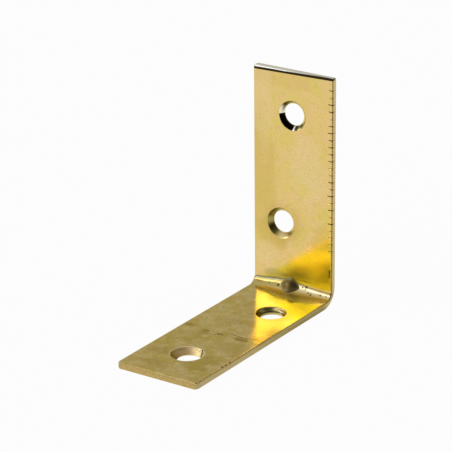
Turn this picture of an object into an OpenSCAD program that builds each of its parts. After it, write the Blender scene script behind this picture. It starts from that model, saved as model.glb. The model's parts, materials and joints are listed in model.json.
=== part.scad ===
// Corner brace: one strip of sheet steel, punched, countersunk and folded to a right angle.
// Millimetres. The foot lies on z = 0 and reaches towards -Y. The upright stands at the +Y end.
// The origin is at the middle of the bracket's width and length, on the underside of the foot.

/* [Strip] */
// Width of the strip
strip_width = 19; // [16:0.5:28]
// Thickness of the sheet
sheet = 1.4; // [1.2:0.1:2]
// Length of the foot, measured from the back face of the upright
foot_length = 50; // [42:1:80]
// Height of the upright, measured from the underside of the foot
upright_height = 49; // [42:1:80]
// Radius on the inside of the bend
bend_inside_r = 2.7; // [2.2:0.1:4]

/* [Edges] */
// Rounding of the sheared edges
edge_r = 0.25; // [0.1:0.05:0.4]
// Rounding of the corners at the two ends, seen square to the face
corner_r = 0.5; // [0.3:0.1:3]

/* [Screw holes] */
// Diameter of the straight bore
hole_d = 4.8; // [3.5:0.1:5.5]
// Diameter of the countersink at the inner face
sink_d = 6.5; // [5.5:0.1:7]
// Included angle of the countersink
sink_angle = 80; // [74:1:100]
// Distance from the top of the upright to its end hole
upright_end_hole = 9.4; // [6:0.2:14]
// Height of the upright's inner hole above the underside of the foot
upright_inner_hole = 15.8; // [12:0.2:22]
// Distance from the free end of the foot to its end hole
foot_end_hole = 10.5; // [6:0.5:14]
// Distance from the back face of the upright to the foot's inner hole
foot_inner_hole = 13.7; // [11:0.1:22]
// How far each inner hole is staggered, to opposite sides on the two legs
stagger = 2.9; // [0:0.1:4]
// How far the upright's end hole sits off the middle
upright_drift = -0.2; // [-1:0.1:1]
// How far the foot's end hole sits off the middle
foot_drift = 0.35; // [-1:0.05:1]

/* [Pressed rib] */
// Height of the stiffening rib above the inside of the bend
rib_height = 1.2; // [0.6:0.1:1.6]
// Radius of the wheel-shaped punch that the rib follows
rib_wheel_r = 2; // [1.6:0.1:2.6]
// Slope of the rib's sides
rib_slope = 40; // [30:1:55]
// Rounding of the rib's crest
rib_crest_r = 0.6; // [0.4:0.05:0.8]
// Rounding where the rib runs out into the bend
rib_root_r = 1; // [0.5:0.1:1.5]
// Radius of the dent behind the rib, seen from the side
dent_r = 2.2; // [1.8:0.1:3]
// Width of the flat at the bottom of the dent
dent_flat = 0.5; // [0.2:0.1:1]
// Metal left between the crest of the rib and the dent behind it
rib_wall = 1.1; // [0.9:0.05:1.3]

/* [Shear marks] */
// Distance between the nicks along the upright's edge
nick_pitch = 1.5; // [1:0.1:4]
// Length of each nick, measured in from the edge
nick_length = 1.15; // [0.6:0.05:2.5]
// Depth of each nick
nick_depth = 0.12; // [0.05:0.01:0.3]
// Distance from the top of the upright to the first nick
nick_top = 2.5; // [1.5:0.1:6]
// Height of the lowest nick above the underside of the foot
nick_bottom = 12; // [8:0.5:24]

/* [Hidden] */
$fn = 96;
bend_outside_r = bend_inside_r + sheet;
sink_depth = (sink_d - hole_d) / 2 / tan(sink_angle / 2);
rib_sink = 0.05;
arc_steps = 6;
clear = 0.5;

// Rectangle from the origin along +X and +Y, with exact round corners
module round_rect(size, r) {
    translate([r, 0]) square([size[0] - 2 * r, size[1]]);
    translate([0, r]) square([size[0], size[1] - 2 * r]);
    for (x = [r, size[0] - r], y = [r, size[1] - r]) translate([x, y]) circle(r);
}

// Cross-section of the strip: its width along X, its outer face on y = 0
module strip_section() {
    translate([-strip_width / 2, -sheet]) round_rect([strip_width, sheet], edge_r);
}

// Straight leg standing on the end of the bend, its end rounded in both directions
module leg(length) {
    run = length - bend_outside_r;
    translate([0, 0, bend_outside_r]) intersection() {
        linear_extrude(run) strip_section();
        rotate([90, 0, 90]) linear_extrude(strip_width, center = true)
            translate([-sheet, -2 * edge_r]) round_rect([sheet, run + 2 * edge_r], edge_r);
        rotate([90, 0, 0]) linear_extrude(sheet)
            translate([-strip_width / 2, -2 * corner_r])
                round_rect([strip_width, run + 2 * corner_r], corner_r);
    }
}

// Quarter turn that joins the two legs
module bend() {
    translate([0, -bend_outside_r, bend_outside_r]) rotate([0, 90, 0]) rotate_extrude(angle = 90)
        translate([bend_inside_r, -strip_width / 2]) round_rect([sheet, strip_width], edge_r);
}

// Copies what stands on the upright over to the foot, across the diagonal of the corner
module on_foot() {
    mirror([0, 1, 1]) children();
}

// Cutter for one screw hole through the upright, countersunk from the inner face
module screw_hole(across, height) {
    translate([across, 0, height]) rotate([90, 0, 0]) {
        translate([0, 0, -clear]) cylinder(h = sheet + 2 * clear, d = hole_d);
        translate([0, 0, sheet - sink_depth]) cylinder(
            h = sink_depth + clear, d1 = hole_d, d2 = sink_d + 2 * clear * tan(sink_angle / 2));
    }
}

// Places a child at the axis of the bend, with +Y towards the outside of the corner
module on_diagonal(distance) {
    translate([0, -bend_outside_r, bend_outside_r]) rotate([-45, 0, 0])
        translate([0, distance, 0]) children();
}

// Points along an arc round a centre, from one angle to another
function arc(centre, r, from, to) =
    [for (i = [0:arc_steps]) let (a = from + (to - from) * i / arc_steps) centre + r * [cos(a), sin(a)]];

// Half-section of the wheel-shaped rib: a V with a round crest, flared where it runs out
module rib_section() {
    crest = [rib_wheel_r - rib_crest_r, 0];
    root_x = rib_wheel_r - rib_height - rib_sink + rib_root_r;
    root_y = ((crest[0] - root_x) * cos(rib_slope) + rib_crest_r + rib_root_r) / sin(rib_slope);
    polygon(concat(
        [[0, -root_y]],
        arc([root_x, -root_y], rib_root_r, 180, 180 - rib_slope),
        arc(crest, rib_crest_r, -rib_slope, rib_slope),
        arc([root_x, root_y], rib_root_r, 180 + rib_slope, 180),
        [[0, root_y]]
    ));
}

// Rib pressed up from the outside of the bend, ending inside the thickness of the sheet
module rib() {
    on_diagonal(0) intersection() {
        translate([0, bend_inside_r - rib_height + rib_wheel_r, 0]) rotate([0, 90, 0])
            rotate_extrude() rib_section();
        translate([-strip_width / 2, 0, -strip_width / 2])
            cube([strip_width, bend_inside_r + sheet / 2, strip_width]);
    }
}

// Dent that the punch leaves on the outside of the bend: a V-shaped wheel with a flat crest
module dent() {
    half = dent_flat / 2 + dent_r / tan(rib_slope);
    on_diagonal(bend_inside_r - rib_height + rib_wall + dent_r) rotate([0, 90, 0])
        rotate_extrude() polygon([[0, -half], [dent_r, -dent_flat / 2], [dent_r, dent_flat / 2], [0, half]]);
}

// Row of V-shaped nicks that the shears left along the right edge of the upright's inner face
module nicks() {
    side = nick_depth * sqrt(2);
    for (z = [upright_height - nick_top : -nick_pitch : nick_bottom - 0.3])
        translate([strip_width / 2 - nick_length, -sheet, z]) rotate([45, 0, 0])
            translate([0, -side / 2, -side / 2]) cube([nick_length + clear, side, side]);
}

module bracket() {
    color("darkkhaki") translate([0, foot_length / 2, 0]) difference() {
        union() {
            leg(upright_height);
            on_foot() leg(foot_length);
            bend();
            rib();
        }
        dent();
        screw_hole(upright_drift, upright_height - upright_end_hole);
        screw_hole(-stagger, upright_inner_hole);
        on_foot() screw_hole(foot_drift, foot_length - foot_end_hole);
        on_foot() screw_hole(stagger, foot_inner_hole);
        nicks();
    }
}

bracket();
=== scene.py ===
"""Looks of the corner brace: a strip of brass-plated steel, modelled flat and folded, on a pale floor."""

import json
import math

import bmesh
import bpy
import numpy as np
from mathutils import Matrix, Vector
from mathutils.geometry import delaunay_2d_cdt


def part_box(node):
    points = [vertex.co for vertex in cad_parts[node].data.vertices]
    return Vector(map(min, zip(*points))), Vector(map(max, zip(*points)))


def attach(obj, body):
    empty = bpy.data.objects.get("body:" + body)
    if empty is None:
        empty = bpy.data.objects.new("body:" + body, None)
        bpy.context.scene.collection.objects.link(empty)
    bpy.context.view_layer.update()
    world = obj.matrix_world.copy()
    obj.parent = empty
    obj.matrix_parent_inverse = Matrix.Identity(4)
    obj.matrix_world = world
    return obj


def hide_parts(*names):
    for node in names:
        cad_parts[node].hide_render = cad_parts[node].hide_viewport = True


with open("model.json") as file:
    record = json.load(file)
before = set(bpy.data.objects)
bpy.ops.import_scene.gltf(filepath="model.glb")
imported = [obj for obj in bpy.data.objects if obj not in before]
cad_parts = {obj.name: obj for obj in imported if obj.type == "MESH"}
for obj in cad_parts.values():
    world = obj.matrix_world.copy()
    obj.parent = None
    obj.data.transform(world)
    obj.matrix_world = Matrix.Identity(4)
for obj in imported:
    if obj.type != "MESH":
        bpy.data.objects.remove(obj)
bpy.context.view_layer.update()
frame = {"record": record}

# Sizes of the strip, in millimetres. The inside of the bend is tighter at its ends than in its middle
MM = 0.001
SHEET = 1.4
BEND_OUTSIDE_R = 4.1
BEND_ENDS_R = 1.5
BEND_MIDDLE_R = 2.8
BEND_MIDDLE_PLACE = -2.5
BEND_MIDDLE_REACH = 6.5
LOW, HIGH = (np.array(corner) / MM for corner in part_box("bracket"))
WIDTH = HIGH[0] - LOW[0]
FOOT = HIGH[1] - LOW[1]
UPRIGHT = HIGH[2] - LOW[2]
BACK = HIGH[1]

# Places along the flat strip, measured from the middle of the bend
HALF_ARC = (BEND_OUTSIDE_R - SHEET / 2) * math.pi / 4
TOP_S = -(UPRIGHT - BEND_OUTSIDE_R + HALF_ARC)
FREE_S = FOOT - BEND_OUTSIDE_R + HALF_ARC

# Rounding of the edges and corners, and the share of the edges' rounding that reaches the two ends
EDGE_INNER_R = 0.42
EDGE_OUTER_R = 0.25
TOP_END_SHARE = 0.6
FREE_END_SHARE = 0.2
CORNER_R = 0.5
FREE_CORNER_R = 0.9

# Countersinks of the upright's end and inner holes, then of the foot's: radius, and shift off the bore
SINK_RADII = (3.12, 3.3, 3.4, 3.15)
SINK_SHIFTS = (0.12, 0.13, -0.45, -0.2)
SINK_SLOPE = math.radians(40)
RIM_R = 0.1

# Pressed rib in the bend and the dent behind it, in millimetres
RIB_PLACE = -0.45
RIB_TURN = math.radians(32)
RIB_HEIGHT = 1.2
RIB_AXIS_R = 2.2
RIB_WHEEL_R = 2.0
RIB_SLOPE = math.radians(42)
RIB_CREST_R = 0.95
RIB_BLEND = 0.6
DENT_DEPTH = 1.5
DENT_WHEEL_R = 2.2
DENT_CREST_R = 0.3
DENT_BLEND = 0.1

# Nicks of the shears along the upright's right edge, in millimetres
NICK_PITCH = 1.5
NICK_FIRST = UPRIGHT - 2.5
NICK_COUNT = 24
NICK_HALF = 0.13
NICK_DEPTH = 0.12
NICK_LENGTH = 1.15
NICK_LEAST_LENGTH = 0.75
NICK_LENGTH_SPREAD = 0.35
NICK_LEAST_DEPTH = 0.4
NICK_DEPTH_SPREAD = 0.6
NICK_GRID = (-0.1, 0.0, 0.15, 0.35, 0.55)
NICK_MARGIN = 0.2

# How finely the strip is divided, in millimetres and steps
GRID = 0.6
RIB_GRID = 0.12
RIB_REACH = 3.6
BEND_ROWS = 32
EDGE_STEPS = 7
EDGE_ROWS = 4
HOLE_STEPS = 160
HOLE_MARGIN = 0.15
SUPPORT = 0.06
MERGE_GAP = 1e-7
SHARP_ANGLE = math.radians(25)

# Painted reflections round each countersink, light and dark, from six o'clock by nine, twelve and three back
# to six
GOLD = (0.76, 0.58, 0.20)
BLACK = (0.004, 0.003, 0.001)
WALL_REFLECTIONS = (
    ((0.0, BLACK), (0.247, BLACK), (0.253, (0.95, 0.90, 0.70)), (0.35, (0.85, 0.78, 0.52)),
     (0.385, (0.30, 0.22, 0.07)), (0.47, (0.32, 0.24, 0.06)), (0.55, GOLD), (0.84, GOLD),
     (0.87, (0.34, 0.28, 0.08)), (0.895, (1.0, 0.97, 0.60)), (0.92, (0.60, 0.48, 0.10)),
     (0.94, (0.08, 0.04, 0.02)), (0.968, (0.10, 0.06, 0.02)), (0.976, (1.0, 1.0, 0.98)),
     (0.992, (1.0, 1.0, 0.98)), (0.996, BLACK)),
    ((0.0, (0.86, 0.68, 0.32)), (0.05, (0.66, 0.52, 0.20)), (0.10, (0.40, 0.32, 0.09)),
     (0.17, (0.13, 0.10, 0.015)), (0.25, (0.40, 0.33, 0.09)), (0.33, (0.46, 0.37, 0.10)),
     (0.41, (0.30, 0.24, 0.05)), (0.50, (0.50, 0.40, 0.12)), (0.60, GOLD), (0.88, GOLD),
     (0.95, (0.86, 0.68, 0.32))),
    ((0.0, GOLD), (0.14, (0.42, 0.30, 0.09)), (0.20, (0.44, 0.32, 0.10)), (0.30, (0.74, 0.54, 0.24)),
     (0.42, (0.86, 0.65, 0.32)), (0.50, (1.0, 0.84, 0.46)), (0.55, (1.0, 0.88, 0.52)),
     (0.62, (0.62, 0.50, 0.27)), (0.80, GOLD)),
    ((0.0, GOLD), (0.14, (0.32, 0.25, 0.07)), (0.30, (0.34, 0.27, 0.09)), (0.42, (0.48, 0.38, 0.14)),
     (0.55, (0.72, 0.59, 0.27)), (0.64, (0.50, 0.40, 0.12)), (0.80, GOLD)),
)
WALL_REACH = 7.0

# Colours of the plating on the faces, with painted reflections and painted shade near the bend
PALE_GOLD = (0.80, 0.565, 0.22)
GREEN_GOLD = (0.745, 0.585, 0.17)
ROSE_GOLD = (0.82, 0.56, 0.27)
OLIVE_GOLD = (0.62, 0.51, 0.11)
AGED_GOLD = (0.64, 0.46, 0.11)
GREY_GOLD = (0.79, 0.61, 0.29)
BROWN_GRAIN = (0.58, 0.42, 0.12)
FOOT_REFLECTION_YELLOW = (0.73, 0.585, 0.02)
FOOT_REFLECTION_FLECK = (0.54, 0.36, 0.01)
FOOT_REFLECTION_FAINT = (0.52, 0.43, 0.11)
DARK_REFLECTION_OLIVE = (0.45, 0.31, 0.015)
RIB_SHADE_OLIVE = (0.24, 0.20, 0.03)
LEFT_RIB_SHADE_KHAKI = (0.36, 0.29, 0.12)
DULL_CREAM = (0.91, 0.74, 0.38)
FOOT_OLIVE = (0.50, 0.385, 0.07)
FOOT_FLECK = (0.56, 0.42, 0.10)
UPRIGHT_REFLECTION_YELLOW = (1.0, 0.91, 0.30)
UNDER_RIB_SHADOW_OLIVE = (0.66, 0.56, 0.17)

# Colours of the bend and its rib, mostly painted highlights and painted shade, and of the marks on the faces,
# with a painted highlight round a hole
WORN_CREAM_HIGHLIGHT = (0.84, 0.72, 0.45)
WORN_BROWN_IN_HIGHLIGHT = (0.66, 0.50, 0.30)
HIGHLIGHT_LINE_CREAM = (0.93, 0.87, 0.66)
DARK_KHAKI = (0.31, 0.25, 0.12)
LIGHT_KHAKI = (0.56, 0.45, 0.15)
RIB_LEFT_SHADE = (0.27, 0.215, 0.10)
RIB_RIGHT_SHADE = (0.12, 0.095, 0.04)
DENT_SHADE = (0.22, 0.16, 0.06)
MARK_BROWN = (0.42, 0.25, 0.04)
SCRATCH_BROWN = (0.22, 0.13, 0.03)
SPECK_BROWN = (0.09, 0.05, 0.015)
HALO_BROWN = (0.52, 0.36, 0.08)
RIM_HIGHLIGHT_CREAM = (0.95, 0.83, 0.52)

# Colours of the cut edges, with painted shade on the sides and a painted highlight on the bare top end
SIDE_PALE = (0.66, 0.56, 0.34)
SIDE_DARK = (0.48, 0.38, 0.18)
SIDE_SHADE = (0.15, 0.125, 0.055)
SIDE_DEEP_SHADE = (0.09, 0.08, 0.05)
BARE_STEEL_HIGHLIGHT = (0.97, 0.95, 0.88)
TOP_SHADE = (0.30, 0.26, 0.18)
FREE_END_PALE = (0.62, 0.44, 0.16)
FREE_END_DARK = (0.42, 0.28, 0.07)
SEAM_BROWN = (0.15, 0.08, 0.015)
EDGE_BLACK = (0.015, 0.011, 0.005)

# Ragged patches on the flat strip: place across, place along, reach across, reach along, strength
AGED_PATCHES = ((-8.0, -26.0, 5.0, 15.0, 0.6), (-5.4, -12.2, 5.0, 4.6, 0.8), (7.5, -12.0, 3.0, 8.0, 0.5),
                (-2.0, -46.0, 9.0, 3.0, 0.3))
GREY_PATCHES = ((3.5, -27.0, 5.0, 8.0, 0.6), (-7.0, -38.0, 3.0, 10.0, 0.5), (-6.5, -7.5, 3.0, 3.0, 0.5))
OLIVE_PATCHES = ((5.2, 38.8, 3.2, 2.6, 0.6), (4.3, 42.2, 5.0, 2.0, 0.6), (-5.0, 30.0, 3.0, 5.0, 0.35))
OLIVE_FLECKS = ((5.9, 31.3, 4.2, 3.4, 0.4),)
BROWN_MARKS = ((5.0, 26.8, 2.2, 1.0, 1.0), (-3.3, 26.9, 1.1, 0.8, 1.0), (0.0, 26.7, 0.9, 0.6, 1.0),
               (-7.9, 26.0, 1.2, 1.0, 0.9), (-7.8, -0.15, 1.2, 0.45, 1.0), (-3.7, 44.9, 4.0, 1.8, 0.4),
               (-5.6, 39.5, 3.5, 2.2, 0.4))
BROWN_CLOUDS = ((-1.3, 20.2, 3.2, 1.6, 0.3),)

# Scratches and dark lines: place across and along of each end, and width
SCRATCHES = (((1.84, 25.5), (4.23, 25.85), 0.16), ((4.23, 25.85), (6.28, 25.5), 0.16),
             ((6.28, 25.5), (7.9, 24.95), 0.16), ((-4.38, 3.26), (-1.54, 4.5), 0.15),
             ((-3.8, 28.3), (0.9, 26.8), 0.14))
EDGE_CRACK = ((8.98, -6.3), (8.98, -5.0), 0.25)
RIM_CRACK = ((1.55, 35.05), (1.8, 35.9), 0.2)

# Dark specks: place across, place along, size
SPECKS = ((-5.24, -0.13, 0.22), (-3.0, 0.0, 0.45), (2.62, -0.89, 0.3), (3.5, -1.3, 0.38),
          (3.37, -0.63, 0.25), (4.23, 0.11, 0.25), (4.92, 0.34, 0.3), (7.05, -0.14, 0.28),
          (8.35, -0.24, 0.25), (9.4, -0.95, 0.42), (9.2, 39.5, 0.3), (9.3, 38.4, 0.25), (9.3, 36.9, 0.25))

# How far each leg's painted yellow reflection leans across the strip for each millimetre along it
UPRIGHT_LEAN = 1.44
FOOT_LEAN = 0.675

# Sag of the sheet over the bend, along the strip in millimetres, and how fast it grows on the bump
SAG_STARTS = -6.5
SAG_STRAIGHTENS = -3.8
SAG_ENDS = -2.3
SAG_CURVE = 2.0
SAG_SLOPE = 10.9
BUMP_DEPTH = 0.02
BUMP_STRENGTH = 0.4

# Ragged edges of the painted patches, and the share of an oval's reach where it starts to fade
RAGGEDNESS = 1.6
FADE_START = 0.55

# Light of the studio, as a share of plain white
ROOM_LEVEL = 0.39
DARK_LEVEL = 0.10
GLOW_LEVEL = 0.2
SOFTBOX_LEVEL = 1.45
SOFTBOX_TOP_LEVEL = 0.7
DIM_UNDER_BOX = 0.5
FLOOR_WHITE = 0.96

# Places in the studio: a direction with its inner and outer angle, or two heights and their softness
DARK_SIDE = ((0.70, -0.35, 0.62), 26, 46)
GLOW = ((-0.52, -0.10, 0.86), 20, 45)
SOFTBOX_WAY = (-0.56, -0.83)
SOFTBOX_ANGLES = (28, 48)
SOFTBOX_BAND = (14.5, 35, 1.5)
SOFTBOX_TOP_BAND = (24, 35, 2)
UNDER_BAND = (-2, 13, 2)

# The photograph's view, in millimetres, with the directions of the camera's right and up
CAMERA_PLACE = (258.77, -380.38, 203.20)
CAMERA_RIGHT = (0.82827, 0.56025, -0.00891)
CAMERA_UP = (-0.19698, 0.30603, 0.93142)
CAMERA_LENS = 199.6


class Value:
    """A node socket that Python's operators do sums on."""

    def __init__(self, maker, socket):
        self.maker = maker
        self.socket = socket

    def sum(self, operation, *others):
        return self.maker.node("ShaderNodeMath", {"operation": operation}, self, *others)

    def __add__(self, other):
        return self.sum("ADD", other)

    def __radd__(self, other):
        return self.sum("ADD", other)

    def __sub__(self, other):
        return self.sum("SUBTRACT", other)

    def __rsub__(self, other):
        return -self + other

    def __mul__(self, other):
        return self.sum("MULTIPLY", other)

    def __rmul__(self, other):
        return self.sum("MULTIPLY", other)

    def __truediv__(self, other):
        return self.sum("DIVIDE", other)

    def __pow__(self, other):
        return self.sum("POWER", other)

    def __neg__(self):
        return self * -1

    def __abs__(self):
        return self.sum("ABSOLUTE")

    def at_least(self, other):
        return self.sum("MAXIMUM", other)

    def at_most(self, other):
        return self.sum("MINIMUM", other)

    def within(self, low, high):
        return self.at_least(low).at_most(high)

    def step(self, low, high):
        """0 below low, 1 above high, smooth between. High may be the smaller."""
        return self.maker.node(
            "ShaderNodeMapRange", {"interpolation_type": "SMOOTHSTEP"}, self, low, high, 0.0, 1.0
        )


class Maker:
    """Adds nodes to one tree, and hands their sockets back as values."""

    def __init__(self, tree):
        self.tree = tree

    def node(self, kind, settings=None, *inputs, output=0, **named):
        node = self.tree.nodes.new(kind)
        for name, value in (settings or {}).items():
            if name == "stops":
                self.set_stops(node.color_ramp, value)
            else:
                setattr(node, name, value)
        for key, value in list(enumerate(inputs)) + list(named.items()):
            socket = node.inputs[key.replace("_", " ") if isinstance(key, str) else key]
            if isinstance(value, Value):
                self.tree.links.new(value.socket, socket)
            elif value is not None:
                socket.default_value = value
        return Value(self, node.outputs[output])

    def set_stops(self, ramp, stops):
        while len(ramp.elements) < len(stops):
            ramp.elements.new(1.0)
        for element, (place, colour) in zip(ramp.elements, stops):
            element.position = place
            element.color = (*colour, 1.0)

    def mix_colour(self, factor, first, second):
        """The first colour where the factor is 0, the second where it is 1."""
        node = self.node("ShaderNodeMix", {"data_type": "RGBA"}).socket.node
        for key, value in ((0, factor), (6, first), (7, second)):
            if isinstance(value, Value):
                self.tree.links.new(value.socket, node.inputs[key])
            else:
                node.inputs[key].default_value = value if key == 0 else (*value, 1.0)
        return Value(self, node.outputs[2])

    def split(self, vector):
        node = self.node("ShaderNodeSeparateXYZ", None, vector).socket.node
        return [Value(self, node.outputs[axis]) for axis in range(3)]

    def join(self, x, y, z):
        return self.node("ShaderNodeCombineXYZ", None, x, y, z)

    def link(self, value, socket):
        self.tree.links.new(value.socket, socket)


def hole_plan():
    """Each screw hole on the flat strip: place across and along, bore radius, sink radius, sink's shift."""
    plan = []
    bores = [mount for mount in frame["record"]["mounts"] if mount["kind"] == "bore"]
    for mount, sink_r, shift in zip(bores, SINK_RADII, SINK_SHIFTS):
        x, y, z = (value / MM for value in mount["pos_m"])
        on_foot = abs(mount["axis"][2]) > 0.5
        past_bend = BACK - y if on_foot else z
        along = past_bend - BEND_OUTSIDE_R + HALF_ARC
        plan.append((x, along if on_foot else -along, mount["dims"]["r_mm"], sink_r, shift))
    return plan


def nick_stations():
    """Places along the strip that each nick's groove needs points at."""
    tops = [NICK_FIRST - i * NICK_PITCH for i in range(NICK_COUNT)]
    centres = [-(z - BEND_OUTSIDE_R + HALF_ARC) for z in tops]
    return [s + k * NICK_HALF for s in centres for k in (-1, -0.5, 0, 0.5, 1)]


def edge_stations():
    """Places along a long edge that carry a row of points."""
    low, high = TOP_S + CORNER_R, FREE_S - FREE_CORNER_R
    bend = np.linspace(-HALF_ARC, HALF_ARC, BEND_ROWS + 1)
    upper = np.arange(low, -HALF_ARC - GRID / 2, GRID)
    lower = np.arange(HALF_ARC + GRID, high - GRID / 2, GRID)
    nicks = np.array(nick_stations())
    upper = [s for s in upper if np.min(np.abs(nicks - s)) > NICK_HALF / 2 or s == low]
    return np.unique(np.round(np.concatenate([upper, nicks, bend, lower, [high]]), 6))


def outline(inset, stations):
    """The strip's flat outline, drawn in by inset at its sides and less at its ends."""
    half, top_end, free_end = WIDTH / 2, inset * TOP_END_SHARE, inset * FREE_END_SHARE
    side_r, top_r = CORNER_R - inset, CORNER_R - top_end
    free_side_r, free_r = FREE_CORNER_R - inset, FREE_CORNER_R - free_end
    right, left = half - CORNER_R, -half + CORNER_R
    free_right, free_left = half - FREE_CORNER_R, -half + FREE_CORNER_R
    across = np.linspace(left, right, int(WIDTH / GRID))
    free_across = np.linspace(free_right, free_left, int(WIDTH / GRID))
    quarter = [(math.cos(a), math.sin(a)) for a in np.linspace(0, math.pi / 2, EDGE_STEPS)[1:-1]]
    free, top = FREE_S - FREE_CORNER_R, TOP_S + CORNER_R
    points = [(half - inset, s) for s in stations]
    points += [(free_right + free_side_r * c, free + free_r * d) for c, d in quarter]
    points += [(x, FREE_S - free_end) for x in free_across]
    points += [(free_left - free_side_r * d, free + free_r * c) for c, d in quarter]
    points += [(-half + inset, s) for s in stations[::-1]]
    points += [(left - side_r * c, top - top_r * d) for c, d in quarter]
    points += [(x, TOP_S + top_end) for x in across]
    points += [(right + side_r * d, top - top_r * c) for c, d in quarter]
    return np.array(points)


def edge_section():
    """Inset and height of each loop over the strip's edge, from the inner face to the outer face."""
    half = SHEET / 2
    turns = [(1 - math.sin(a), 1 - math.cos(a)) for a in np.linspace(0, math.pi / 2, EDGE_STEPS)]
    over = [(EDGE_INNER_R * inset, half - EDGE_INNER_R * drop) for inset, drop in turns]
    under = [(EDGE_OUTER_R * inset, EDGE_OUTER_R * drop - half) for inset, drop in turns]
    wall = np.linspace(half - EDGE_INNER_R - SUPPORT, -half + EDGE_OUTER_R + SUPPORT, EDGE_ROWS)
    top = [(EDGE_INNER_R + SUPPORT, half)] + over
    foot = under[::-1] + [(EDGE_OUTER_R + SUPPORT, -half)]
    return top + [(0.0, height) for height in wall] + foot


def hole_section(bore_r, sink_r):
    """Radius, height and share of the countersink's shift for each loop down a hole, inner face first."""
    half = SHEET / 2
    depth = (sink_r - bore_r) / math.tan(SINK_SLOPE)
    cone_end = half - depth
    loops = [(sink_r + RIM_R + SUPPORT, half, 1.0)]
    for a in np.linspace(0, math.pi / 2 - SINK_SLOPE, 4):
        loops.append((sink_r + RIM_R * (1 - math.sin(a)), half - RIM_R * (1 - math.cos(a)), 1.0))
    for k in (0.1, 0.4, 0.7, 0.96, 1.0):
        loops.append((sink_r + (bore_r - sink_r) * k, half - depth * k, 1.0 - k))
    for height in (cone_end - SUPPORT / 2, (cone_end - half + RIM_R) / 2, -half + RIM_R):
        loops.append((bore_r, height, 0.0))
    for a in np.linspace(0, math.pi / 2, 4)[1:]:
        loops.append((bore_r + RIM_R * (1 - math.cos(a)), -half + RIM_R * (1 - math.sin(a)), 0.0))
    return loops + [(loops[-1][0] + SUPPORT, -half, 0.0)]


def circle(across, along, r):
    turns = np.linspace(0, 2 * math.pi, HOLE_STEPS, endpoint=False)
    return np.stack([across + r * np.cos(turns), along + r * np.sin(turns)], axis=1)


def face_points(rings):
    """Loose points inside a face: an even grid, finer round the rib, in the bend and at the nicks."""
    half = WIDTH / 2 - EDGE_INNER_R - SUPPORT
    upper = np.arange(TOP_S + GRID, -HALF_ARC, GRID)
    bend = np.linspace(-HALF_ARC, HALF_ARC, BEND_ROWS + 1)
    lower = np.arange(HALF_ARC + GRID, FREE_S - GRID / 2, GRID)
    rows = np.concatenate([upper, bend, lower])
    columns = np.linspace(-half, half, int(WIDTH / GRID) + 1)[1:-1]
    fine = np.arange(-RIB_REACH, RIB_REACH + RIB_GRID / 2, RIB_GRID)
    grid = [(x, s) for s in rows for x in columns if max(abs(x), abs(s)) > RIB_REACH + RIB_GRID]
    grid += [(x, s) for s in fine for x in fine]
    nick_x = WIDTH / 2 - NICK_LENGTH + np.array(NICK_GRID)
    near = [(x, s) for x, s in grid if not (x > nick_x[0] - NICK_MARGIN and s < -HALF_ARC)]
    near += [(x, s) for s in nick_stations() for x in nick_x]
    return [
        (x, s) for x, s in near
        if all(math.hypot(x - hole_x, s - hole_s) > r + HOLE_MARGIN for hole_x, hole_s, r in rings)
    ]


def fill_face(loops, loose, holes):
    """Triangles over a face inside its outline and outside its holes, as points and index triples."""
    points, edges = [], []
    for loop in loops:
        start = len(points)
        points += [Vector(p) for p in loop]
        edges += [(start + i, start + (i + 1) % len(loop)) for i in range(len(loop))]
    points += [Vector(p) for p in loose]
    points, _, triangles, *_ = delaunay_2d_cdt(points, edges, [], 0, 1e-5)
    points = np.array([tuple(p) for p in points])
    middles = points[np.array(triangles)].mean(axis=1)
    keep = np.ones(len(triangles), bool)
    for x, s, r in holes:
        keep &= np.hypot(middles[:, 0] - x, middles[:, 1] - s) > r
    return points, [tuple(t) for t, wanted in zip(triangles, keep) if wanted]


def flat_strip():
    """The punched strip before it is folded: across on X, along on Y, up from its middle plane on Z."""
    vertices, faces, cuts, sinks = [], [], [], []

    def add(points, height, cut, sink):
        start = len(vertices)
        vertices.extend((x, s, height) for x, s in points)
        cuts.extend([cut] * len(points))
        sinks.extend([sink] * len(points))
        return start

    def wall(loops):
        count = len(loops[0][0])
        starts = [add(*loop) for loop in loops]
        for upper, lower in zip(starts, starts[1:]):
            for i in range(count):
                j = (i + 1) % count
                faces.append((upper + i, lower + i, lower + j, upper + j))

    stations = edge_stations()
    holes = hole_plan()
    section = edge_section()
    wall([(outline(inset, stations), height, max(0.0, 1 - inset / EDGE_OUTER_R), 0.0)
          for inset, height in section])
    for x, s, r, sink_r, shift in holes:
        wall([(circle(x + shift * share, s, ring), height, 0.0, float(ring < sink_r + RIM_R / 2))
              for ring, height, share in hole_section(r, sink_r)])
    for end in (0, -1):
        inset, height = section[end]
        rings = []
        for x, s, r, sink_r, shift in holes:
            ring, _, share = hole_section(r, sink_r)[end]
            rings.append((x + shift * share, s, ring))
        loops = [outline(inset, stations)] + [circle(*ring) for ring in rings]
        points, triangles = fill_face(loops, face_points(rings), rings)
        start = add(points, height, 0.0, 0.0)
        faces.extend(tuple(start + i for i in t) for t in triangles)

    mesh = bpy.data.meshes.new("flat_strip")
    mesh.from_pydata([tuple(c * MM for c in v) for v in vertices], [], faces)
    mesh.attributes.new("cut", "FLOAT", "POINT").data.foreach_set("value", cuts)
    mesh.attributes.new("sink", "FLOAT", "POINT").data.foreach_set("value", sinks)
    flat = mesh.attributes.new("flat", "FLOAT_VECTOR", "POINT")
    flat.data.foreach_set("vector", np.array(vertices, float).ravel())
    strip = bpy.data.objects.new("flat_strip", mesh)
    bpy.context.scene.collection.objects.link(strip)
    return strip


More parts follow.
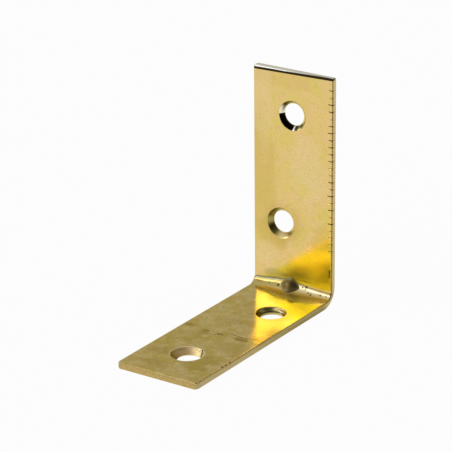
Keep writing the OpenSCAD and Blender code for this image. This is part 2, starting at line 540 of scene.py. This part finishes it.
def tree_inputs(tree, sizes):
    """Gives a geometry tree its sockets: a mesh, named sizes and a material in, a mesh out."""
    tree.interface.new_socket("Geometry", in_out="INPUT", socket_type="NodeSocketGeometry")
    for name in sizes:
        tree.interface.new_socket(name, in_out="INPUT", socket_type="NodeSocketFloat")
    tree.interface.new_socket("Material", in_out="INPUT", socket_type="NodeSocketMaterial")
    tree.interface.new_socket("Geometry", in_out="OUTPUT", socket_type="NodeSocketGeometry")
    source = tree.nodes.new("NodeGroupInput")
    maker = Maker(tree)
    return maker, {socket.name: Value(maker, socket) for socket in source.outputs if socket.name}


def fold_tree(sizes):
    """Folds the flat strip round its bend, presses the rib with its dent and cuts the nicks."""
    tree = bpy.data.node_groups.new("fold_strip", "GeometryNodeTree")
    maker, size = tree_inputs(tree, sizes)
    x, s, n = maker.split(maker.node("GeometryNodeInputPosition"))
    half_arc = size["Half Arc"]
    in_bend = s.within(-half_arc, half_arc)
    past_bend = (s - half_arc).at_least(0)
    above_bend = (-s - half_arc).at_least(0)

    def fold(radius, depth):
        """The fold of a face that lies depth inside the outer one: its place, and its normal's parts."""
        centre = radius + depth
        arc = radius * (math.pi / 4)
        run = in_bend * ((size["Outside Radius"] - centre + arc) / half_arc)
        turn = (run.within(-arc, arc) / arc + 1) * (math.pi / 4)
        cosine, sine = turn.sum("COSINE"), turn.sum("SINE")
        out = (run - arc).at_least(0) + past_bend
        up = (-run - arc).at_least(0) + above_bend
        return size["Back"] - centre + radius * cosine - out, centre - radius * sine + up, cosine, sine

    swell = (-((x - size["Middle Place"]) / size["Middle Reach"]) ** 2).sum("EXPONENT")
    inner_r = size["Ends Radius"] + (size["Middle Radius"] - size["Ends Radius"]) * swell
    inner_y, inner_z, cosine, sine = fold(inner_r, size["Sheet"])
    outer_y, outer_z, _, _ = fold(size["Outside Radius"], 0.0)

    def pressed(y, z, centre, axis_r, turn, wheel_r, crest_r, deep):
        """How far a face lies inside a wheel with a V-shaped rim, which reaches deep into the bend."""
        steep = math.tan(RIB_SLOPE)
        soft = crest_r * (steep * steep)
        side = x - size["Rib Place"]
        rim = ((side * steep) ** 2 + soft * soft) ** 0.5 - soft
        away = axis_r - deep + wheel_r
        hub_y = size["Back"] - centre + away * math.cos(turn)
        hub_z = centre - away * math.sin(turn)
        return wheel_r - rim - ((y - hub_y) ** 2 + (z - hub_z) ** 2) ** 0.5

    rib = pressed(inner_y, inner_z, size["Rib Axis"] + size["Sheet"], size["Rib Axis"], RIB_TURN,
                  size["Rib Wheel"], size["Rib Crest"], size["Rib Height"])
    dent = pressed(outer_y, outer_z, size["Outside Radius"], size["Outside Radius"], math.pi / 4,
                   size["Dent Wheel"], size["Dent Crest"], size["Dent Depth"])
    top = n / size["Sheet"] + 0.5
    rib = rib.sum("SMOOTH_MAX", 0.0, size["Rib Blend"]) * top
    dent = dent.sum("SMOOTH_MAX", 0.0, size["Dent Blend"]) * (1 - top)

    place = (size["First Nick"] - size["Outside Radius"] - above_bend) / size["Nick Pitch"]
    number = place.sum("ROUND")
    aside = abs(place - number) * size["Nick Pitch"]
    in_row = number.step(-0.6, -0.4) * number.step(NICK_COUNT - 0.4, NICK_COUNT - 0.6)
    in_row = in_row * above_bend.step(0, 0.1 * MM)
    strength = maker.node("ShaderNodeTexWhiteNoise", {"noise_dimensions": "1D"}, W=number)
    start = size["Half Width"] - size["Nick Length"] * (strength * NICK_LENGTH_SPREAD + NICK_LEAST_LENGTH)
    nick = (1 - aside / size["Nick Half"]).at_least(0) * x.step(start, start + 0.3 * MM) * in_row
    nick = nick * (strength * NICK_DEPTH_SPREAD + NICK_LEAST_DEPTH) * top

    lift = rib + dent - nick * size["Nick Depth"]
    y = outer_y + (inner_y - outer_y) * top - lift * cosine
    z = outer_z + (inner_z - outer_z) * top + lift * sine
    moved = size["Geometry"]
    marks = {"nick": nick, "rib": rib / size["Rib Height"], "dent": dent / size["Dent Depth"]}
    for name, mark in marks.items():
        moved = maker.node("GeometryNodeStoreNamedAttribute", {"data_type": "FLOAT", "domain": "POINT"},
                           moved, Name=name, Value=mark)
    moved = maker.node("GeometryNodeSetPosition", None, moved, Position=maker.join(x, y, z))
    dressed = maker.node("GeometryNodeSetMaterial", None, moved, Material=size["Material"])
    sink = tree.nodes.new("NodeGroupOutput")
    maker.link(dressed, sink.inputs[0])
    return tree


def apply_tree(obj, tree, values, name):
    """Runs a geometry tree on an object and keeps the result as a plain mesh object."""
    modifier = obj.modifiers.new("shape", "NODES")
    modifier.node_group = tree
    for item in tree.interface.items_tree:
        if item.in_out == "INPUT" and item.name in values:
            modifier[item.identifier] = values[item.name]
    bpy.context.view_layer.update()
    mesh = bpy.data.meshes.new_from_object(obj.evaluated_get(bpy.context.evaluated_depsgraph_get()))
    mesh.name = name
    bpy.data.objects.remove(obj)
    made = bpy.data.objects.new(name, mesh)
    bpy.context.scene.collection.objects.link(made)
    return made


def clean_mesh(obj):
    """Joins the patches, points the faces outwards and shades it smooth between its sharp edges."""
    mesh = obj.data
    shell = bmesh.new()
    shell.from_mesh(mesh)
    bmesh.ops.remove_doubles(shell, verts=shell.verts, dist=MERGE_GAP)
    bmesh.ops.recalc_face_normals(shell, faces=shell.faces)
    shell.to_mesh(mesh)
    shell.free()
    mesh.shade_smooth()
    mesh.set_sharp_from_angle(angle=SHARP_ANGLE)


def any_of(masks):
    """The strongest of several masks."""
    first, *others = masks
    for mask in others:
        first = first.at_least(mask)
    return first


class Plating(Maker):
    """The finish of the strip, painted layer over layer at places measured on the flat strip."""

    def __init__(self, tree):
        super().__init__(tree)
        self.place = self.node("ShaderNodeAttribute", {"attribute_name": "flat"}, output=1)
        self.x, self.s, self.n = self.split(self.place)
        self.inner = self.n.step(0.2, 0.6)
        self.foot = self.s.step(2.0, 5.0) * self.inner
        self.cloud = self.noise(0.16, 3.0)
        self.blotch = self.noise(0.45, 4.0, shift=7.0)
        self.patch = self.noise(0.8, 4.0, 0.65, shift=21.0)
        self.grain = self.noise(3.2, 3.0, 0.7)
        self.speckle = self.noise(3.6, 4.0, 0.8, shift=33.0)
        self.drawn = self.noise(2.2, 3.0, 0.65, (0.25, 1.6, 1.0))
        self.flecks = self.speckle.step(0.46, 0.60)
        self.sink = self.attribute("sink")
        self.cut = self.attribute("cut")
        self.colour = PALE_GOLD
        self.rough = self.blotch * 0.04 + self.grain * 0.06 + self.cut * 0.25 + self.sink * 0.14 + 0.09

    def attribute(self, name):
        return self.node("ShaderNodeAttribute", {"attribute_name": name}, output=2)

    def noise(self, scale, detail, roughness=0.55, stretch=(1.0, 1.0, 1.0), shift=0.0):
        middle, unturned = (shift, shift, 0.0), (0.0, 0.0, 0.0)
        place = self.node("ShaderNodeMapping", None, self.place, middle, unturned, stretch)
        return self.node("ShaderNodeTexNoise", None, place, Scale=scale, Detail=detail, Roughness=roughness)

    def paint(self, mask, colour):
        """Lays a colour over the finish where the mask is 1."""
        self.colour = self.mix_colour(mask, self.colour, colour)

    def spot(self, x, s, across, along, ragged=None):
        """1 in the middle of an oval, 0 outside it."""
        away = (((self.x - x) / across) ** 2 + ((self.s - s) / along) ** 2) ** 0.5
        if ragged is not None:
            away = away + (ragged - 0.5) * RAGGEDNESS
        return away.step(1.0, FADE_START)

    def spots(self, places, ragged):
        """Ragged ovals, each with its own strength."""
        return [self.spot(*place, ragged) * strength for *place, strength in places]

    def ring(self, x, s, r, width):
        """1 on a circle round a place, 0 away from it."""
        away = abs(((self.x - x) ** 2 + (self.s - s) ** 2) ** 0.5 - r)
        return away.step(width, width * 0.5)

    def clock(self, x, s):
        """How far round a hole, from 0 at six o'clock by nine, twelve and three to 1 at six again."""
        return (self.x - x).sum("ARCTAN2", -(self.s - s)) / (2 * math.pi) + 0.5

    def stroke(self, start, end, width, ragged=None):
        """1 along a straight line between two places, 0 away from it."""
        dx, ds = end[0] - start[0], end[1] - start[1]
        span = dx * dx + ds * ds
        x, s = self.x - start[0], self.s - start[1]
        part = ((x * dx + s * ds) / span).within(0, 1)
        away = ((x - part * dx) ** 2 + (s - part * ds) ** 2) ** 0.5
        if ragged is not None:
            away = away + (ragged - 0.5) * width * 2
        return away.step(width, width * 0.4)


def paint_gold(plate):
    """Pale gold all over, clouded green and rose, with aged and greyer patches on the upright."""
    upright = plate.s.step(-3.0, -6.0) * plate.inner
    plate.paint(plate.cloud.step(0.35, 0.65), GREEN_GOLD)
    plate.paint(plate.blotch.step(0.42, 0.70) * 0.7, ROSE_GOLD)
    plate.paint(plate.patch.step(0.5, 0.75) * 0.7, OLIVE_GOLD)
    plate.paint(any_of(plate.spots(AGED_PATCHES, plate.cloud)) * upright, AGED_GOLD)
    plate.paint(any_of(plate.spots(GREY_PATCHES, plate.cloud)) * upright, GREY_GOLD)
    plate.paint(plate.grain.step(0.42, 0.72) * 0.5, BROWN_GRAIN)


def paint_upright(plate):
    """Painted reflection of the foot in yellow, growing fainter upwards, with a painted darker reflection and
    painted shade over the bend.
    """
    x, s = plate.x, plate.s
    # Painted reflection of the foot: yellow where it is mirrored in the upright, fainter higher up, with
    # darker flecks
    foot_reflection = (x + s * UPRIGHT_LEAN).step(-10.8, -8.0) * s.step(0.0, -1.0) * plate.inner
    faint_reflection = foot_reflection * (s + x * 0.15).step(-8.6, -10.0) * x.step(1.0, 6.0)
    near_bend = s.step(-1.3, -2.0) * plate.inner
    # Painted darker reflection in olive over the bend, stronger to the right
    dark_reflection = (s + x * 0.38).step(-6.4, -3.8) * near_bend
    dark_reflection = dark_reflection * (0.25 + (x - s * UPRIGHT_LEAN).step(6.0, 12.0) * 0.45)
    # Painted shade round the rib's top and right
    rib_shade = near_bend * s.step(-7.0, -3.2) * abs(x - 2.0).step(5.0, 0.6)
    # Painted shade left of the rib, over the bend
    left_rib_shade = plate.spot(-4.2, -2.7, 3.4, 1.5, plate.grain) * near_bend
    plate.paint(foot_reflection * 0.8, FOOT_REFLECTION_YELLOW)
    plate.paint(faint_reflection * 0.85, FOOT_REFLECTION_FAINT)
    plate.paint(dark_reflection, DARK_REFLECTION_OLIVE)
    plate.paint(rib_shade * 0.6, RIB_SHADE_OLIVE)
    plate.paint(left_rib_shade * 0.5, LEFT_RIB_SHADE_KHAKI)
    plate.paint(foot_reflection * plate.flecks * 0.4, FOOT_REFLECTION_FLECK)
    plate.rough = plate.rough + dark_reflection * 0.14


def paint_foot(plate):
    """Duller, olive and flecked along the foot, with a painted reflection of the upright in clean yellow and
    a painted soft shadow under the rib.
    """
    x, s, foot = plate.x, plate.s, plate.foot
    olive = any_of(
        [plate.patch.step(0.52, 0.70) * 0.55, plate.drawn.step(0.5, 0.7) * 0.4]
        + plate.spots(OLIVE_PATCHES, plate.blotch) + plate.spots(OLIVE_FLECKS, plate.grain)
    )
    # Painted reflection of the upright: clean yellow where it is mirrored in the foot
    upright_reflection = foot * (x - s * FOOT_LEAN).step(-9.6, -8.8) * plate.spot(3.0, 11.0, 15.0, 18.0, plate.cloud)
    # Painted soft shadow under the rib, with rougher plating there
    under_rib_shadow = plate.spot(3.2, 2.6, 6.0, 2.9) * plate.inner
    plate.paint(foot * plate.blotch.step(0.40, 0.60) * 0.7, DULL_CREAM)
    plate.paint(foot * olive, FOOT_OLIVE)
    plate.paint(upright_reflection * 0.9, UPRIGHT_REFLECTION_YELLOW)
    plate.paint(foot * plate.flecks * (0.6 - upright_reflection * 0.25), FOOT_FLECK)
    plate.paint(under_rib_shadow * 0.35, UNDER_RIB_SHADOW_OLIVE)
    plate.rough = plate.rough + under_rib_shadow * 0.34


def paint_bend(plate):
    """Worn cream plating, painted as a highlight, right of the rib, a painted highlight line over painted
    shade to its left, and painted shade on the rib and in the dent.
    """
    x, s, inner = plate.x, plate.s, plate.inner
    # Worn plating right of the rib, painted pale cream as a painted highlight, mottled brown
    worn_highlight = s.step(-1.9, -1.5) * s.step(0.4, -0.2) * x.step(1.2, 2.2)
    # Painted highlight line left of the rib, and painted shade below it, darker near the line
    line = s + x * 0.09
    highlight_line = line.step(-2.1, -2.0) * line.step(-1.68, -1.78) * x.step(-2.0, -2.8)
    below = line.step(-1.78, -1.68) * line.step(1.0, 0.0) * x.step(-1.2, -2.4)
    # Painted shade on the rib, darker on its right flank
    ribbed = plate.attribute("rib").step(0.0, 0.015) * inner
    # Painted shade in the dent behind the rib
    dented = plate.attribute("dent").step(0.0, 0.5)
    plate.paint(worn_highlight * inner * 0.85, WORN_CREAM_HIGHLIGHT)
    plate.paint(worn_highlight * inner * plate.blotch.step(0.5, 0.62) * 0.6, WORN_BROWN_IN_HIGHLIGHT)
    plate.paint(highlight_line * inner * 0.9, HIGHLIGHT_LINE_CREAM)
    plate.paint(below * inner * 0.85, plate.mix_colour(line.step(-1.5, -0.9), DARK_KHAKI, LIGHT_KHAKI))
    right_of_rib = x.step(RIB_PLACE - 0.1, RIB_PLACE + 0.7)
    plate.paint(ribbed * 0.95, plate.mix_colour(right_of_rib, RIB_LEFT_SHADE, RIB_RIGHT_SHADE))
    plate.paint(dented * 0.8, DENT_SHADE)
    plate.rough = plate.rough + worn_highlight * 0.14 + ribbed * 0.32 + dented * 0.2


def paint_marks(plate):
    """Brown marks, scratches and dark specks."""
    grain = plate.grain
    brown = any_of(plate.spots(BROWN_MARKS, grain) + plate.spots(BROWN_CLOUDS, plate.speckle))
    ragged = plate.speckle.step(0.44, 0.60) * 0.35 + 0.65
    plate.paint(brown * plate.inner * ragged, MARK_BROWN)
    scratches = any_of([plate.stroke(*scratch, grain) for scratch in SCRATCHES])
    plate.paint(scratches * plate.inner * 0.9, SCRATCH_BROWN)
    specks = [plate.spot(x, s, size, size, grain) for x, s, size in SPECKS]
    specks = any_of(specks + [plate.stroke(*EDGE_CRACK, grain)])
    plate.paint(specks * plate.n.step(-0.2, 0.0) * 0.9, SPECK_BROWN)


def paint_holes(plate):
    """Brown halos round the inner holes, painted reflections on the walls of all four, and fine lines round
    the foot's two, the cream one a painted highlight.
    """
    holes = hole_plan()
    for x, s, _, sink_r, shift in holes[1::2]:
        halo = plate.spot(x + shift + 0.5, s, sink_r + 2.4, sink_r + 2.0, plate.speckle) * plate.inner
        plate.paint(halo * 0.45, HALO_BROWN)
    for (x, s, *_), stops in zip(holes, WALL_REFLECTIONS):
        # Painted reflections, light and dark, round the wall of each countersink
        wall = plate.node("ShaderNodeValToRGB", {"stops": stops}, plate.clock(x, s))
        plate.paint(plate.sink * plate.spot(x, s, WALL_REACH, WALL_REACH), wall)
    x, s, _, sink_r, shift = holes[2]
    # Painted highlight: a cream ring round the rim of the foot's end hole
    plate.paint(plate.ring(x + shift, s, sink_r + 0.08, 0.16) * plate.inner * 0.7, RIM_HIGHLIGHT_CREAM)
    plate.rough = plate.rough + plate.sink * plate.spot(x, s, WALL_REACH, WALL_REACH) * 0.3
    x, s, bore_r, *_ = holes[3]
    bore_line = plate.ring(x, s, bore_r + 0.1, 0.12) * plate.sink * plate.n.step(-0.4, -0.3)
    plate.paint(bore_line * 0.8, BLACK)
    plate.paint(plate.stroke(*RIM_CRACK) * 0.97, BLACK)


def paint_cut_edges(plate):
    """Duller cut sides, a bare top end painted near-white as a painted highlight with a black line under it,
    and the brown seam of the shears.
    """
    x, s, n, cut = plate.x, plate.s, plate.n, plate.cut
    shear = plate.noise(5.0, 3.0, 0.7, (1.0, 2.0, 0.4), 3.0).step(0.35, 0.7)
    side = plate.mix_colour(shear, SIDE_PALE, SIDE_DARK)
    side = plate.mix_colour(s.step(0.0, 4.0) * (s.step(34.0, 12.0) * 0.4 + 0.45), side, SIDE_SHADE)
    lower_half = n.step(0.2, -0.3) * s.step(1.0, 4.0) * s.step(18.0, 10.0)
    side = plate.mix_colour(lower_half * 0.6, side, SIDE_DEEP_SHADE)
    plate.paint(cut * 0.8, side)

    # Bare steel on the top end, painted near-white as a painted highlight
    top_end = s.step(TOP_S + 0.25, TOP_S + 0.1)
    down = s - (TOP_S + 0.43 - (x / WIDTH - 0.5) * 0.45)
    plate.paint(any_of([top_end * cut, down.step(-0.44, -0.52) * plate.inner]), BARE_STEEL_HIGHLIGHT)
    plate.paint(top_end * n.step(-0.42, -0.5) * 0.75, TOP_SHADE)
    free_end = s.step(FREE_S - 0.25, FREE_S - 0.1)
    plate.paint(free_end * cut * 0.8, plate.mix_colour(shear, FREE_END_PALE, FREE_END_DARK))

    beads = ((s * (math.tau / 0.47)).sum("SINE") * 0.3 + plate.grain).step(0.25, 0.6)
    seam = x.step(9.26, 9.33) * x.step(9.50, 9.44) * n.step(0.1, 0.2) * (beads * 0.5 + 0.4)
    plate.paint(seam * (1 - s.step(-3.0, 3.0) * 0.6), SEAM_BROWN)
    # Black along the top's front edge, in the deeper part of each nick and at the top's right corner
    rolled = down.step(0.04, -0.03) * down.step(-0.54, -0.46) * n.step(0.3, 0.4)
    corner = top_end * x.step(9.15, 9.25)
    nick = plate.attribute("nick").step(0.15, 0.5)
    plate.paint(any_of([nick * 0.85, rolled * 0.98, corner * 0.9]), EDGE_BLACK)


def sag_over_bend(plate):
    """Height of the slight sag just above the bend, weaker towards both sides, for the bump."""
    x, s = plate.x, plate.s
    curved = (s - SAG_STARTS).within(0, SAG_STRAIGHTENS - SAG_STARTS) ** 2 * SAG_CURVE
    straight = (s.at_most(SAG_ENDS) - SAG_STRAIGHTENS).at_least(0) * SAG_SLOPE
    return (curved + straight) * plate.inner * x.step(-10.0, -4.0) * (1 - x.step(3.0, 9.0) * 0.4)


def plated_steel():
    """Brass-plated steel: pale gold, mottled, stained and scratched, with wear in the bend, duller where cut,
    and painted reflections, highlights and shade.
    """
    material = bpy.data.materials.new("plated_steel")
    material.use_nodes = True
    plate = Plating(material.node_tree)
    paint_gold(plate)
    paint_upright(plate)
    paint_foot(plate)
    paint_bend(plate)
    paint_marks(plate)
    paint_holes(plate)
    paint_cut_edges(plate)

    height = plate.grain * 0.4 + plate.drawn * 0.6 + plate.blotch * 1.5 + sag_over_bend(plate)
    bump = plate.node("ShaderNodeBump", None, Strength=BUMP_STRENGTH, Distance=BUMP_DEPTH * MM, Height=height)
    shader = material.node_tree.nodes["Principled BSDF"]
    shader.inputs["Metallic"].default_value = 1.0
    shader.inputs["Specular Tint"].default_value = (1.0, 0.92, 0.6, 1.0)
    plate.link(plate.colour, shader.inputs["Base Color"])
    plate.link(plate.rough, shader.inputs["Roughness"])
    plate.link(bump, shader.inputs["Normal"])
    return material


def folded_bracket():
    """The finished bracket: the flat strip folded, pressed and nicked."""
    values = {
        "Outside Radius": BEND_OUTSIDE_R, "Ends Radius": BEND_ENDS_R, "Middle Radius": BEND_MIDDLE_R,
        "Middle Place": BEND_MIDDLE_PLACE, "Middle Reach": BEND_MIDDLE_REACH, "Sheet": SHEET,
        "Half Arc": HALF_ARC, "Back": BACK, "Half Width": WIDTH / 2, "Rib Place": RIB_PLACE,
        "Rib Height": RIB_HEIGHT, "Rib Axis": RIB_AXIS_R, "Rib Wheel": RIB_WHEEL_R,
        "Rib Crest": RIB_CREST_R, "Rib Blend": RIB_BLEND, "Dent Depth": DENT_DEPTH,
        "Dent Wheel": DENT_WHEEL_R, "Dent Crest": DENT_CREST_R, "Dent Blend": DENT_BLEND,
        "First Nick": NICK_FIRST, "Nick Pitch": NICK_PITCH, "Nick Half": NICK_HALF,
        "Nick Depth": NICK_DEPTH, "Nick Length": NICK_LENGTH,
    }
    values = {name: value * MM for name, value in values.items()}
    tree = fold_tree(list(values))
    values["Material"] = plated_steel()
    skin = apply_tree(flat_strip(), tree, values, "bracket_skin")
    clean_mesh(skin)
    return skin


def white_floor():
    """A pale floor that shows white, and keeps some of the shadow that falls on it."""
    mesh = bpy.data.meshes.new("floor")
    reach = 1.2
    corners = [(-reach, -reach, 0), (reach, -reach, 0), (reach, reach, 0), (-reach, reach, 0)]
    mesh.from_pydata(corners, [], [(0, 1, 2, 3)])
    floor = bpy.data.objects.new("floor", mesh)
    bpy.context.scene.collection.objects.link(floor)
    material = bpy.data.materials.new("white_floor")
    material.use_nodes = True
    maker = Maker(material.node_tree)
    rays = material.node_tree.nodes.new("ShaderNodeLightPath").outputs
    seen = Value(maker, rays["Is Camera Ray"])
    mirrored = Value(maker, rays["Is Glossy Ray"])
    through = Value(maker, rays["Is Transmission Ray"])
    plain = maker.node("ShaderNodeBsdfDiffuse", None, (0.8, 0.8, 0.8, 1.0))
    white = maker.node("ShaderNodeEmission", None, (1.0, 1.0, 1.0, 1.0), 1.0)
    shown = (seen + mirrored + through).at_most(1) * FLOOR_WHITE
    mixed = maker.node("ShaderNodeMixShader", None, shown, plain, white)
    maker.link(mixed, material.node_tree.nodes["Material Output"].inputs[0])
    mesh.materials.append(material)


def soft_studio():
    """A dim room with a long softbox at the left front, and a dark side behind the camera."""
    world = bpy.data.worlds.new("studio")
    bpy.context.scene.world = world
    world.use_nodes = True
    maker = Maker(world.node_tree)
    way = maker.node("ShaderNodeTexCoord", output=0)
    x, y, z = maker.split(way)

    def patch(direction, inner, outer):
        """1 within inner degrees of a direction, 0 beyond outer degrees."""
        unit = tuple(Vector(direction).normalized())
        near = maker.node("ShaderNodeVectorMath", {"operation": "DOT_PRODUCT"}, way, unit, output=1)
        return near.step(math.cos(math.radians(outer)), math.cos(math.radians(inner)))

    def band(low, high, soft):
        """1 between two elevations in degrees, with soft edges."""
        rises = z.step(math.sin(math.radians(low - soft)), math.sin(math.radians(low + soft)))
        falls = z.step(math.sin(math.radians(high + soft)), math.sin(math.radians(high - soft)))
        return rises * falls

    away_from_top = (x * x + y * y) ** 0.5
    facing = (x * SOFTBOX_WAY[0] + y * SOFTBOX_WAY[1]) / away_from_top.at_least(0.001)
    narrow, wide = (math.cos(math.radians(angle)) for angle in SOFTBOX_ANGLES)
    front = facing.step(wide, narrow)
    level = ROOM_LEVEL * (1 - patch(*DARK_SIDE)) + DARK_LEVEL
    level = level + GLOW_LEVEL * patch(*GLOW)
    level = level * (1 - front * band(*UNDER_BAND) * DIM_UNDER_BOX)
    level = level + SOFTBOX_LEVEL * front * band(*SOFTBOX_BAND)
    level = level + SOFTBOX_TOP_LEVEL * front * band(*SOFTBOX_TOP_BAND)
    rays = world.node_tree.nodes.new("ShaderNodeLightPath").outputs
    seen = Value(maker, rays["Is Camera Ray"])
    background = world.node_tree.nodes["Background"]
    background.inputs["Color"].default_value = (1.0, 1.0, 1.0, 1.0)
    maker.link(level * (1 - seen) + seen, background.inputs["Strength"])


def add_camera():
    """The photograph's view, from the right front and half a metre away."""
    data = bpy.data.cameras.new("camera")
    data.sensor_width = 36.0
    data.lens = CAMERA_LENS
    data.clip_start = 0.01
    camera = bpy.data.objects.new("camera", data)
    bpy.context.scene.collection.objects.link(camera)
    right, up = Vector(CAMERA_RIGHT), Vector(CAMERA_UP)
    turn = Matrix((right, up, right.cross(up))).transposed().to_4x4()
    camera.matrix_world = Matrix.Translation(Vector(CAMERA_PLACE) * MM) @ turn
    bpy.context.scene.camera = camera


bracket = folded_bracket()
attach(bracket, "root")
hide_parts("bracket")
white_floor()
soft_studio()
add_camera()
bpy.context.scene.view_settings.view_transform = "Standard"
